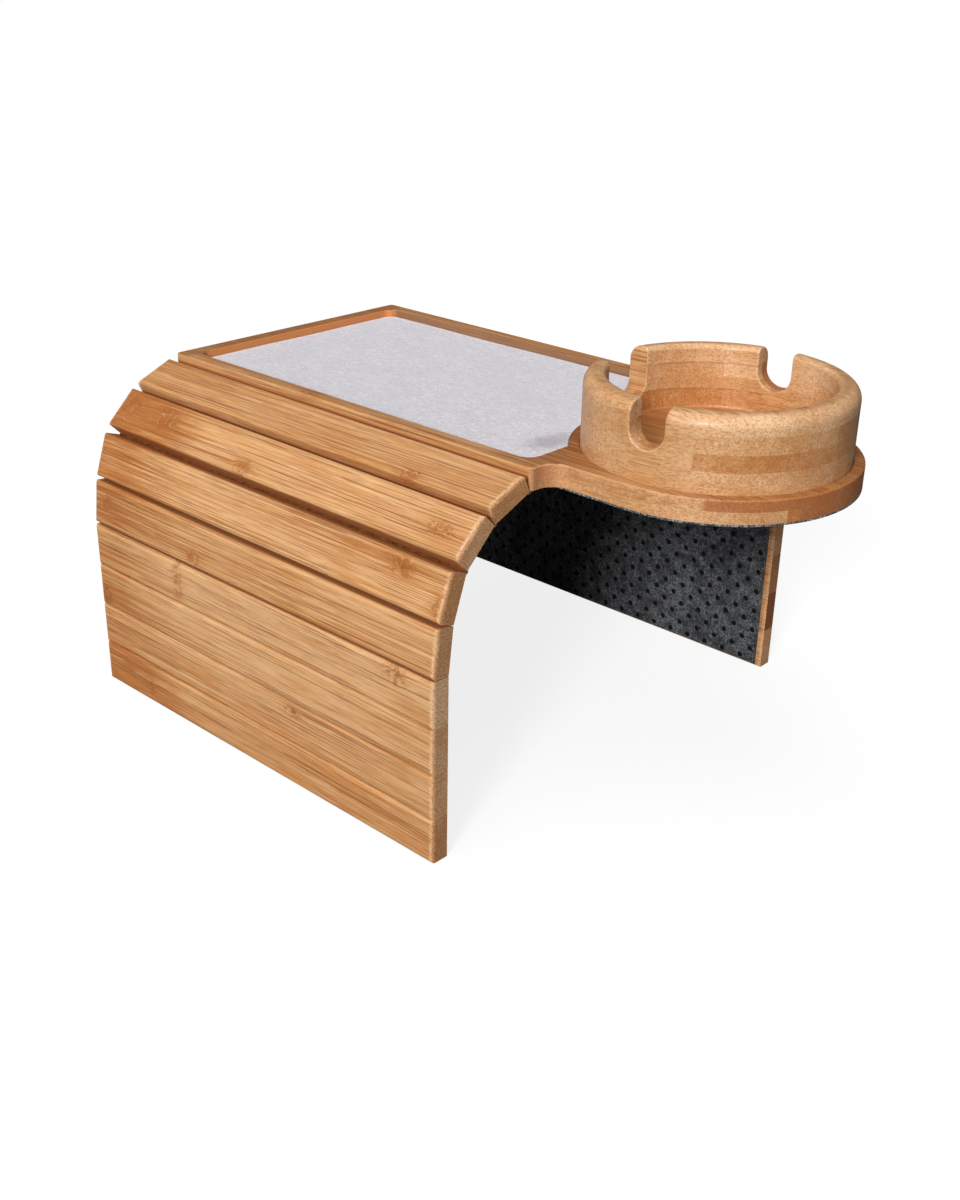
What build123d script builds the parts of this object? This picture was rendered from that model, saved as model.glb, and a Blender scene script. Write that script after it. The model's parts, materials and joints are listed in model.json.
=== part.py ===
# Sofa arm tray: a bamboo panel with a round lobe at the front that carries a lift-out ashtray,
# and on each long side a wing of eight bamboo slats that hang on one shared felt lining.
# Millimetres. Up is +Z, the lobe points to -Y, the wings lie at -X (left) and +X (right).
# The origin lies in the underside of the lining, below the middle of the panel, where the
# tray rests on the sofa arm.

import os

from build123d import *

os.makedirs("parts", exist_ok=True)

# Panel
panel_length = 240.0
panel_width = 152.0
panel_thickness = 10.2
panel_corner_radius = 2.5
panel_edge_radius = 1.0

# Lobe at the front of the panel: beside its neck the panel's front edge runs on as a shoulder
shoulder_width = 13.6
shoulder_flat = 2.1
lobe_reach = 37.3

# Well in the panel with the felt insert
rim_width = 8.0
well_corner_radius = 6.5
well_edge_radius = 0.6
felt_thickness = 1.4
felt_free_depth = 3.6
felt_clearance = 0.3

# Ashtray and its seat in the lobe, whose top shows as a ledge round the ashtray
lobe_ledge_width = 5.0
ashtray_height_above_lobe = 32.0
ashtray_wall = 9.4
ashtray_floor_thickness = 4.6
rim_outer_radius_share = 0.64
rim_inner_radius_share = 0.27
ashtray_base_radius = 0.8
ashtray_bowl_fillet_radius = 1.2
ashtray_turn = 4.2
rest_width = 16.2
rest_sill_height = 11.1
wide_rest_width = 30.2
wide_rest_sill_height = 5.7
wide_rest_corner_radius = 8.0
rest_edge_radius = 0.9
seat_depth = 2.0
seat_clearance = 0.4

# Lining under the panel, the lobe and the slats
lining_thickness = 1.2
lining_inset = 0.6
lining_side_setback = 3.5
lining_end_setback = 1.0
lining_seam_gap = 0.2

# Slats of one wing, from the panel's edge downward
slat_pitch = 22.0
slat_thickness = 9.3
slat_gap = 0.2
slat_edge_radius = 2.0
slat_foot_radius = 0.2
slat_tilts = [22.5, 44.0, 71.0, 83.5, 90.0, 90.0, 90.0, 90.0]

panel_top = lining_thickness + panel_thickness
lobe_radius = panel_width / 2 - shoulder_width
neck_fillet_radius = shoulder_width - panel_corner_radius - shoulder_flat
lobe_centre_y = -panel_length / 2 - lobe_reach
seat_floor = panel_top - seat_depth
ashtray_radius = lobe_radius - lobe_ledge_width
ashtray_height = ashtray_height_above_lobe + seat_depth
ashtray_rim_outer_radius = ashtray_wall * rim_outer_radius_share
ashtray_rim_inner_radius = ashtray_wall * rim_inner_radius_share
bowl_radius = ashtray_radius - ashtray_wall


def save(shape, node):
    """Write one node's solid under its own name."""
    export_step(shape, f"parts/{node}.step")


def outline(inset, end_inset, corner_radius, neck_radius):
    """The panel's outline with its lobe, drawn inward by the inset, and at the ends by their own."""
    board = Rectangle(panel_width - 2 * inset, panel_length - 2 * end_inset)
    radius = lobe_radius - inset
    neck_length = lobe_reach + end_inset
    neck = Pos(0, lobe_centre_y + neck_length / 2) * Rectangle(2 * radius, neck_length)
    lobe = Pos(0, lobe_centre_y) * Circle(radius)
    shape = board + neck + lobe
    between_neck_and_side = (panel_width / 2 + lobe_radius) / 2 - inset
    board_corners = [corner for corner in shape.vertices() if abs(corner.X) > between_neck_and_side]
    shape = fillet(board_corners, corner_radius)
    neck_corners = [
        corner
        for corner in shape.vertices()
        if abs(corner.X) < between_neck_and_side and corner.Y > lobe_centre_y + lobe_reach / 2
    ]
    return fillet(neck_corners, neck_radius)


def well_outline(inset, corner_radius):
    """The well: the panel's rectangle inside its rim, less the round lobe that runs into it."""
    width = panel_width - 2 * rim_width - 2 * inset
    length = panel_length - 2 * rim_width - 2 * inset
    lobe = Pos(0, lobe_centre_y) * Circle(lobe_radius + inset)
    return RectangleRounded(width, length, corner_radius) - lobe


def make_panel():
    board = Pos(0, 0, lining_thickness) * extrude(
        outline(0, 0, panel_corner_radius, neck_fillet_radius), panel_thickness
    )
    top_edges = board.faces().sort_by(Axis.Z)[-1].outer_wire().edges()
    board = fillet(top_edges, panel_edge_radius)
    well_depth = felt_free_depth + felt_thickness
    well = Pos(0, 0, panel_top - well_depth) * extrude(well_outline(0, well_corner_radius), well_depth)
    board = board - well
    lip = [
        edge
        for edge in board.edges().filter_by_position(Axis.Z, panel_top, panel_top)
        if abs(edge.center().X) <= panel_width / 2 - rim_width
        and edge.center().Y > lobe_centre_y + lobe_radius / 2
        and edge.center().Y <= panel_length / 2 - rim_width
    ]
    board = fillet(lip, well_edge_radius)
    seat = Pos(0, lobe_centre_y, seat_floor) * extrude(Circle(ashtray_radius + seat_clearance), seat_depth)
    return board - seat


def make_felt():
    floor = panel_top - felt_free_depth - felt_thickness
    sheet = well_outline(felt_clearance, well_corner_radius - felt_clearance)
    return Pos(0, 0, floor) * extrude(sheet, felt_thickness)


def make_panel_lining():
    sheet = outline(lining_inset, lining_side_setback, panel_corner_radius, neck_fillet_radius)
    sheet = extrude(sheet, lining_thickness)
    reach = panel_width - lining_seam_gap
    length = panel_length - 2 * lining_side_setback
    return sheet + extrude(Rectangle(reach, length), lining_thickness)


def make_ashtray():
    half = bowl_radius + ashtray_wall / 2
    body = extrude(Circle(ashtray_radius), ashtray_height)
    bowl_depth = ashtray_height - ashtray_floor_thickness
    bowl = Pos(0, 0, ashtray_floor_thickness) * extrude(Circle(bowl_radius), bowl_depth)
    body = body - bowl
    rim = body.edges().filter_by_position(Axis.Z, ashtray_height, ashtray_height)
    body = fillet([edge for edge in rim if edge.radius > half], ashtray_rim_outer_radius)
    rim = body.edges().filter_by_position(Axis.Z, ashtray_height, ashtray_height)
    body = fillet([edge for edge in rim if edge.radius < half], ashtray_rim_inner_radius)
    bowl_edge = body.edges().filter_by_position(Axis.Z, ashtray_floor_thickness, ashtray_floor_thickness)
    body = fillet(bowl_edge, ashtray_bowl_fillet_radius)
    body = fillet(body.edges().filter_by_position(Axis.Z, 0, 0), ashtray_base_radius)
    for turn, width, sill, corner in (
        (0, rest_width, rest_sill_height, rest_width / 2),
        (90, wide_rest_width, wide_rest_sill_height, wide_rest_corner_radius),
        (180, rest_width, rest_sill_height, rest_width / 2),
    ):
        cutter = Rot(0, 0, turn) * rest_cutter(width, sill, corner)
        whole = body
        body = whole - cutter
        body = fillet(new_edges(whole, cutter, combined=body), rest_edge_radius)
    turned = Rot(0, 0, ashtray_turn) * body
    return Pos(0, lobe_centre_y, seat_floor) * turned


def rest_cutter(width, sill, corner):
    """A slot through the wall toward +X, open at the top and rounded at its sill over the bowl's floor."""
    bottom = ashtray_floor_thickness + sill
    across = (width - 2 * corner) / 2
    above = ashtray_height + ashtray_rim_outer_radius
    box_height = above - bottom - corner
    start = bowl_radius / 2
    reach = ashtray_radius - start + ashtray_rim_outer_radius
    slot = Pos(start + reach / 2, 0, bottom + corner + box_height / 2) * Box(reach, width, box_height)
    for side in (-1, 1):
        round_end = Pos(start + reach / 2, side * across, bottom + corner) * Rot(0, 90, 0)
        slot = slot + round_end * Cylinder(corner, reach)
    if width > 2 * corner:
        slot = slot + Pos(start + reach / 2, 0, bottom + corner / 2) * Box(reach, 2 * across, corner)
    return slot


def make_slat():
    """One slat lying flat, its hinge line at the origin, its width toward +X."""
    width = slat_pitch - slat_gap
    slat = Pos(slat_pitch / 2, 0, lining_thickness + slat_thickness / 2) * Box(
        width, panel_length, slat_thickness
    )
    slat = fillet(slat.faces().sort_by(Axis.Z)[-1].edges(), slat_edge_radius)
    return fillet(slat.faces().sort_by(Axis.Z)[0].edges(), slat_foot_radius)


def make_slat_lining(is_last):
    """The part of the lining that is glued to one slat, lying flat like the slat."""
    end_setback = lining_end_setback if is_last else lining_seam_gap / 2
    start = lining_seam_gap / 2
    width = slat_pitch - start - end_setback
    length = panel_length - 2 * lining_side_setback
    return Pos(start + width / 2, 0, lining_thickness / 2) * Box(width, length, lining_thickness)


panel = make_panel()
felt = make_felt()
panel_lining = make_panel_lining()
ashtray = make_ashtray()

save(panel, "tray_panel")
save(felt, "tray_felt")
save(panel_lining, "tray_lining")
save(ashtray, "ashtray")

slat_flat = make_slat()
slat_count = len(slat_tilts)

for wing, flip in (("right", Rot(0, 0, 0)), ("left", Rot(0, 0, 180))):
    hinge = Pos(panel_width / 2, 0, 0)
    for index, tilt in enumerate(slat_tilts):
        number = index + 1
        strip_flat = make_slat_lining(number == slat_count)
        place = flip * hinge * Rot(0, tilt, 0)
        save(place * slat_flat, f"{wing}_slat_{number}")
        save(place * strip_flat, f"{wing}_lining_{number}")
        hinge = hinge * Rot(0, tilt, 0) * Pos(slat_pitch, 0, 0) * Rot(0, -tilt, 0)
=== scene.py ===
"""Looks of the sofa arm tray: laminated bamboo, a white felt insert and a dotted felt lining."""

import json
import math
from collections import namedtuple

import bmesh
import bpy
from mathutils import Matrix, Vector


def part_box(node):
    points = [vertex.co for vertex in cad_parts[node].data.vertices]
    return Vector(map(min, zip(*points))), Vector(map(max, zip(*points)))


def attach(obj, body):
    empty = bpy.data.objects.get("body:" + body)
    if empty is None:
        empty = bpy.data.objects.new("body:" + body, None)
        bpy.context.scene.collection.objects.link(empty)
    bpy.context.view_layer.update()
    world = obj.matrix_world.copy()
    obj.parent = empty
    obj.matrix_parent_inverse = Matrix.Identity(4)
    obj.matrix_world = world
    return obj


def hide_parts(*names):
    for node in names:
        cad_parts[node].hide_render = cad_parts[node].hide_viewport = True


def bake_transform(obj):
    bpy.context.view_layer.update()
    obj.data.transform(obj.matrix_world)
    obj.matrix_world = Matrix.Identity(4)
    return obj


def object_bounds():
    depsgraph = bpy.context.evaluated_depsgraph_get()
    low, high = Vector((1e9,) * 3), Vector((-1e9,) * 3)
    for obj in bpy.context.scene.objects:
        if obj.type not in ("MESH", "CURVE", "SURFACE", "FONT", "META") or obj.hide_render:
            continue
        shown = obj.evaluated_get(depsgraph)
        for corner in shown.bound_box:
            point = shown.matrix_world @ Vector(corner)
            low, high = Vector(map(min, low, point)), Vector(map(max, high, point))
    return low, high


MM = 0.001
RIGHT = (1.0, 0.0, 0.0)
BACK = (0.0, 1.0, 0.0)
FRONT = (0.0, -1.0, 0.0)
UP = (0.0, 0.0, 1.0)

# Meshes
SHARP_ANGLE = math.radians(40)
FLAT_ANGLE = math.radians(1.0)
TOLERANCE = 1e-6

# Camera, at the photograph's viewpoint
CAMERA_PLACE = Vector((-0.4921, -0.4743, 0.2092))
CAMERA_YAW = math.radians(47.478)
CAMERA_PITCH = math.radians(25.093)
CAMERA_ROLL = math.radians(1.127)
CAMERA_LENS_MM = 42.81
CAMERA_SENSOR_MM = 36.0
CAMERA_SHIFT = (0.0007, -0.0025)

# Light: a low key light from the left, a broad one from above and an even surround
KEY_SIDE = Vector((-0.83, -0.35, 0.43)).normalized()
KEY_STRENGTH = 2.95
KEY_SPREAD = math.radians(14)
KEY_COLOUR = (1.0, 0.985, 0.96)
TOP_SIDE = Vector((-0.3, 0.0, 0.95)).normalized()
TOP_STRENGTH = 1.45
TOP_SPREAD = math.radians(50)
TOP_COLOUR = (0.97, 0.98, 1.0)
AMBIENT = 0.11
WHITE = (1.0, 1.0, 1.0, 1.0)

# Floor: a disc that fades into the background between two distances from its middle
FLOOR_RADIUS = 14.0
FLOOR_SIDES = 96
FLOOR_FADE = (0.5, 2.5)
FLOOR_ALBEDO = 0.2
FLOOR_GRAIN = 0.02
FLOOR_GLOW = 0.84

# Lining: felt with a diagonal grid of raised dots, in pieces that part midway between the seams
LINING_DOT_HEIGHT = 0.35 * MM
LINING_DOT_RADIUS = 1.55 * MM
LINING_DOT_STEP = 11.75 * MM
LINING_ROW_STEP = 5.7 * MM
LINING_FIRST_DOT = (202.7 * MM, -48.2 * MM)
LINING_COLUMNS = 40
LINING_BEND_REACH = 3.0 * MM
LINING_SPLIT = 11.0 * MM
LINING_INSET = 0.6 * MM
LINING_TONGUE = 3.2 * MM
LINING_STEPS = 40
LINING_FRAYED_FROM = (-117.5 * MM, -120.0 * MM)
SEAM_OPEN_ANGLE = math.radians(18)
DOT_SIDES = 10
DOT_RINGS = ((1.0, 0.0), (0.86, 0.55), (0.5, 0.9))

# Felt insert, with one painted grey shadow
FELT_EDGE_RADIUS = 0.5 * MM
FELT_GRID = 7.0 * MM
FELT_WAVE = 0.12 * MM
FELT_WAVE_DROP = 1.4
FELT_SHADOW = (-36.0 * MM, -96.0 * MM)
FELT_SHADOW_HALF = (17.0 * MM, 10.0 * MM)

# Panel: its well, and the lobe's disc that runs into it. The pairs after these say where a look
# begins and where it is full: along Y for the lobe's side, the neck and the back end, and along X
# for the lobe's red, its pale and the painted shade in its corner. The pale one stays below its top.
WELL_HALF = (68.0 * MM, 112.0 * MM)
LOBE_MIDDLE_Y = -157.3 * MM
LOBE_RADIUS = 62.4 * MM
LOBE_FROM = (-117.0 * MM, -122.0 * MM)
LOBE_RED_FROM = (-56.0 * MM, -52.0 * MM)
LOBE_PALE_FROM = (-22.0 * MM, -26.0 * MM)
LOBE_PALE_TOP = 6.3 * MM
LOBE_CORNER_SHADE = (-60.5 * MM, -68.0 * MM)
NECK_FROM = (-88.0 * MM, -102.0 * MM)
NECK_FADE = (-155.0 * MM, -135.0 * MM)
BACK_RIM_FROM = (108.0 * MM, 113.0 * MM)
BACK_WALL_FROM = (105.0 * MM, 109.0 * MM)

# Slats: half their length, where one tone turns into the other along them, and how many metres
# apart in the wood they are taken from
SLAT_END = 120.0 * MM
SLAT_TONE_TURN = (38.0 * MM, 108.0 * MM)
SLAT_SHIFT = 0.37

# The noises in the wood's grain: how many cells to a metre across and along the fibres, and the
# noise's detail and roughness. The fibres wander sideways, and curl at a culm joint.
GRAIN = {
    "wide": (52.0, 5.0, 1.0, 0.5),
    "soft": (300.0, 6.0, 2.0, 0.5),
    "patch": (170.0, 21.0, 2.0, 0.5),
    "streak": (950.0, 6.0, 3.0, 0.75),
    "fine": (1500.0, 9.0, 3.0, 0.75),
    "dash": (1700.0, 55.0, 2.0, 0.6),
    "thread": (1900.0, 30.0, 1.0, 0.5),
    "whorl": (420.0, 330.0, 3.0, 0.6),
    "coarse": (1300.0, 700.0, 3.0, 0.7),
    "pore": (1500.0, 500.0, 3.0, 0.65),
}
GRAIN_WANDER = 1.0 * MM
GRAIN_CURL = 8.0 * MM


def srgb(red, green, blue):
    """An 8-bit display colour as the linear colour that shaders take."""
    linear = []
    for value in (red, green, blue):
        share = value / 255
        linear.append(share / 12.92 if share <= 0.04045 else ((share + 0.055) / 1.055) ** 2.4)
    return (*linear, 1.0)


WOOD_PALE = srgb(217, 170, 121)
WOOD_MID = srgb(199, 146, 95)
WOOD_DEEP = srgb(172, 108, 56)
WOOD_ORANGE = srgb(192, 124, 62)
WOOD_FIBRE = srgb(236, 198, 150)
WOOD_LINE = srgb(128, 68, 26)
WOOD_SCAR = srgb(158, 88, 36)
WOOD_END = srgb(232, 191, 149)
WOOD_END_MID = srgb(210, 158, 108)
WOOD_END_DEEP = srgb(184, 117, 60)
WOOD_END_PORE = srgb(128, 78, 42)
# Pale rubbed fibres and a painted highlight at the slats' end edges
WOOD_WORN_HIGHLIGHT = srgb(236, 196, 156)
# Painted shade in the seams: brown, then dark, on the sides toward the lining
WOOD_SEAM_SHADE = srgb(120, 60, 22)
WOOD_SIDE_SHADE = srgb(172, 106, 60)
WOOD_END_DARK = srgb(120, 62, 34)
# Redder wood along the lobe's side, and painted shade in its corner by slat 1
WOOD_RED_AND_SHADE = srgb(158, 92, 56)
# Painted shade along the well's edge by the felt
WOOD_LIP_SHADE = srgb(120, 92, 72)
WOOD_SPECK = srgb(118, 66, 38)
WOOD_RIM_BACK = srgb(146, 96, 54)
WOOD_WALL = srgb(226, 146, 84)

FELT_DEEP = srgb(170, 167, 178)
FELT_MID = srgb(209, 206, 213)
FELT_PALE = srgb(240, 238, 242)
FELT_CLOUD = srgb(194, 191, 201)
FELT_PILL = srgb(178, 175, 186)
FELT_WISP = srgb(188, 184, 196)
# The painted grey shadow on the felt
FELT_SHADOW_GREY = srgb(128, 123, 134)

LINING_DEEP = srgb(30, 31, 33)
LINING_MID = srgb(66, 68, 71)
LINING_PALE = srgb(126, 129, 134)
LINING_CLOUD = srgb(38, 39, 42)
LINING_TANGLE = srgb(116, 119, 124)
LINING_FRAYED = srgb(170, 174, 174)
# Painted shade: the brown felt at the bottom of the seams
SEAM_SHADE_DEEP = srgb(70, 40, 20)
SEAM_SHADE_PALE = srgb(128, 78, 40)
DOT_DEEP = srgb(7, 8, 9)
DOT_PALE = srgb(14, 15, 17)

# Culm joints on the slats of the near wing, where the photograph shows them, and a few more
# on the far wing: (across, along, half width, half length) in mm
LEFT_MARKS = {
    1: [(20, -73, 2.5, 5)],
    2: [(9, 112, 7, 9), (9.5, 82, 6, 9), (18, 17, 3.5, 6), (12, -104, 3, 7)],
    3: [(5.5, -94, 4.5, 7), (15, -118, 5, 4)],
    4: [(9.5, 110, 5, 5), (17, 39, 3, 5)],
    5: [(9, 52, 10, 3.5), (4, -98, 4, 7)],
    6: [(16, 115, 6, 4)],
    7: [(5, -30, 2.5, 5)],
    8: [(13.5, 82, 4, 3)],
}
RIGHT_MARKS = {
    1: [(8, 30, 6, 5)],
    2: [(12, -70, 7, 5)],
    3: [(9, 88, 7, 5)],
    4: [(12, -16, 6, 5), (8, 100, 6, 4)],
    5: [(14, 52, 7, 5)],
    6: [(9, -84, 7, 5)],
    7: [(11, 10, 6, 5)],
    8: [(10, 70, 7, 5)],
}
# Tones of the slats, at their end by the ashtray and at their other end. On the near wing the other ends
# are deeper partly as painted shade, where the light falls off.
LEFT_TONES_AND_SHADE = {
    1: (0.40, 0.46),
    2: (0.30, 1.20),
    3: (0.22, 1.05),
    4: (0.34, 0.85),
    5: (-0.05, 0.75),
    6: (0.14, 0.85),
    7: (0.26, 0.62),
    8: (0.48, 1.35),
}
RIGHT_TONES = {
    1: (0.45, 0.50),
    2: (0.52, 0.40),
    3: (0.40, 0.55),
    4: (0.50, 0.35),
    5: (0.45, 0.60),
    6: (0.62, 0.45),
    7: (0.70, 0.50),
    8: (0.38, 0.60),
}
# How many mm above the lining the painted brown shade and then the painted dark shade of a seam's
# sides begin and are full: for the panel, 0, for slat 1, and for the slats below, whose sides are
# brown to the top. The panel's sides are what lies so many mm from its middle.
SEAM_BROWN = {0: (8.6, 7.8), 1: (6.4, 5.4)}
SEAM_BROWN_BELOW = (9.2, 8.8)
SEAM_DARK = {0: (7.9, 7.2), 1: (5.5, 4.7)}
SEAM_DARK_BELOW = (3.0, 0.5)
SEAM_SHARE = 0.75
PANEL_SIDE_FROM = 74.0
# How much darker a slat's cut face by the ashtray is
ENDS_DARK = {
    "left": {1: 0.0, 2: 0.0, 3: 0.1, 4: 0.1, 5: 0.0, 6: 0.1, 7: 0.05, 8: 0.1},
    "right": {1: 0.1, 2: 0.3, 3: 0.1, 4: 0.2, 5: 0.0, 6: 0.4, 7: 0.85, 8: 0.1},
}

# Width of the strips that the panel and the ashtray's blank are glued up from
STRIP_WIDTH = 24.1 * MM

# The panel's two layers, the lower one first, strip by strip from -X to +X
PANEL_TONES = [
    [0.62, 0.42, 0.45, 1.05, 0.90, 0.95, 1.20, 0.80],
    [0.60, 0.45, 0.95, 1.05, 0.90, 0.80, 1.10, 0.80],
]
PANEL_STRIP_START = -101.8 * MM
PANEL_LAYER_START = 1.2 * MM
PANEL_LAYER_HEIGHT = 5.1 * MM
PANEL_MARKS = [(-30, -196, 6, 4), (30, 60, 5, 4), (-72, 20, 3, 5), (73, -60, 3, 5)]

# The ashtray's layers from its base up, strip by strip from -X to +X: its front half, whose
# outside the photograph shows, and its back half, which shows inside the bowl. FRONT and BACK say
# where the first layer begins and how high each is
ASHTRAY_TURN = math.radians(4.2)
ASHTRAY_SHIFT = 0.2
ASHTRAY_STRIP_START = -77.9 * MM
ASHTRAY_FRONT = (6.1 * MM, 7.2 * MM)
ASHTRAY_FRONT_TONES = [
    [0.50, 0.46, 0.50, 0.56, 0.62, 0.66],
    [0.42, 0.40, 0.48, 0.58, 0.62, 0.60],
    [0.40, 0.80, 0.66, 0.76, 0.62, 0.40],
    [0.34, 0.40, 0.48, 0.66, 0.40, 0.20],
    [0.28, 0.22, 0.26, 0.22, 0.12, 0.00],
]
ASHTRAY_BACK = (17.0 * MM, 6.0 * MM)
ASHTRAY_BACK_TONES = [
    [0.25, 0.95, 0.85, 0.95, 0.80, 0.66],
    [0.25, 0.58, 0.50, 0.54, 0.56, 0.55],
    [0.22, 0.56, 0.44, 0.50, 0.46, 0.16],
    [0.20, 0.26, 0.20, 0.24, 0.22, 0.14],
    [0.20, 0.06, 0.02, 0.06, 0.06, 0.04],
]
ASHTRAY_GLUE_LINES = (23.0 * MM, 35.0 * MM)
ASHTRAY_INSIDE = 52.0 * MM
ASHTRAY_BEHIND = 5.0 * MM
ASHTRAY_BACK_OUTSIDE = 0.38
ASHTRAY_FLOOR_TOP = 14.3 * MM
ASHTRAY_FLOOR_DEEPER = 0.4
# The outside of the ashtray's right end, below the rim foot, is painted deeper as shade: where that begins
# and is full along X, and by how much
ASHTRAY_SHADE_FROM = (34.0 * MM, 50.0 * MM)
ASHTRAY_RIGHT_SHADE = 0.6
ASHTRAY_RIM_FOOT = 35.9 * MM

# One seam of a wing: the distance of its hinge from the panel's middle along the flat lining, the
# hinge, the directions across the lining before and after it, the directions from the lining to
# the slats there, and how far its piece of the lining reaches after the hinge
Seam = namedtuple("Seam", "wing number across hinge before after out_before out_after reach")


class Graph:
    """Short calls that add and join shader nodes."""

    def __init__(self, tree):
        self.tree = tree

    def add(self, kind, **settings):
        node = self.tree.nodes.new(kind)
        for name, value in settings.items():
            setattr(node, name, value)
        return node

    def feed(self, socket, value):
        if isinstance(value, bpy.types.NodeSocket):
            self.tree.links.new(value, socket)
        else:
            socket.default_value = value

    def feed_all(self, node, values):
        """Feeds a node's sockets by their names."""
        for name, value in values.items():
            self.feed(node.inputs[name], value)

    def result(self, node, *values):
        """The first output of a node whose sockets are fed in turn."""
        for socket, value in zip(node.inputs, values):
            self.feed(socket, value)
        return node.outputs[0]

    def math(self, operation, first, second=0.0, third=0.0, clamp=False):
        node = self.add("ShaderNodeMath", operation=operation, use_clamp=clamp)
        return self.result(node, first, second, third)

    def times(self, first, *others):
        for other in others:
            first = self.math("MULTIPLY", first, other)
        return first

    def varied(self, value, noise, amount):
        """The value, raised and lowered by a noise about its middle."""
        return self.math("MULTIPLY_ADD", self.math("SUBTRACT", noise, 0.5), amount, value)

    def between(self, share, first, second):
        """The first number where the share is 0, and the second where it is 1."""
        return self.math("MULTIPLY_ADD", self.math("SUBTRACT", second, first), share, first)

    def vector(self, operation, first, second=(0.0, 0.0, 0.0)):
        node = self.add("ShaderNodeVectorMath", operation=operation)
        self.feed(node.inputs[0], first)
        self.feed(node.inputs[1], second)
        scalar = operation in ("DOT_PRODUCT", "LENGTH")
        return node.outputs["Value" if scalar else "Vector"]

    def cells(self, place, scale):
        """How far each point is from the nearest of many scattered points, so many to a metre."""
        node = self.add("ShaderNodeTexVoronoi")
        self.feed_all(node, {"Vector": self.vector("MULTIPLY", place, scale), "Scale": 1.0})
        return node.outputs["Distance"]

    def noise(self, place, scale, detail=2.0, roughness=0.5, distortion=0.0):
        """Noise with so many cells to a metre along X, Y and Z, or along all of them."""
        scale = scale if isinstance(scale, tuple) else (scale, scale, scale)
        node = self.add("ShaderNodeTexNoise")
        self.feed_all(node, {"Vector": self.vector("MULTIPLY", place, scale), "Scale": 1.0})
        self.feed_all(node, {"Detail": detail, "Roughness": roughness, "Distortion": distortion})
        return node.outputs["Fac"]

    def combine(self, x, y, z):
        return self.result(self.add("ShaderNodeCombineXYZ"), x, y, z)

    def separate(self, vector):
        node = self.add("ShaderNodeSeparateXYZ")
        self.feed(node.inputs[0], vector)
        return node.outputs

    def smooth(self, value, low, high, bottom=0.0, top=1.0):
        """From bottom, where the value is low, to top, where it is high. low may be above high."""
        node = self.add("ShaderNodeMapRange", interpolation_type="SMOOTHSTEP")
        return self.result(node, value, low, high, bottom, top)

    def mix(self, share, first, second):
        node = self.add("ShaderNodeMix", data_type="RGBA")
        self.feed(node.inputs["Factor"], share)
        self.feed(node.inputs[6], first)
        self.feed(node.inputs[7], second)
        return node.outputs[2]

    def layer(self, colour, layers):
        """The colour with others laid over it in turn, each given as its share and itself."""
        for share, over in layers:
            colour = self.mix(share, colour, over)
        return colour

    def ramp(self, value, stops, interpolation="LINEAR"):
        node = self.add("ShaderNodeValToRGB")
        node.color_ramp.interpolation = interpolation
        elements = node.color_ramp.elements
        while len(elements) < len(stops):
            elements.new(0.5)
        for element, (position, colour) in zip(elements, stops):
            element.position = position
            element.color = colour
        self.feed(node.inputs[0], value)
        return node.outputs["Color"]


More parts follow.
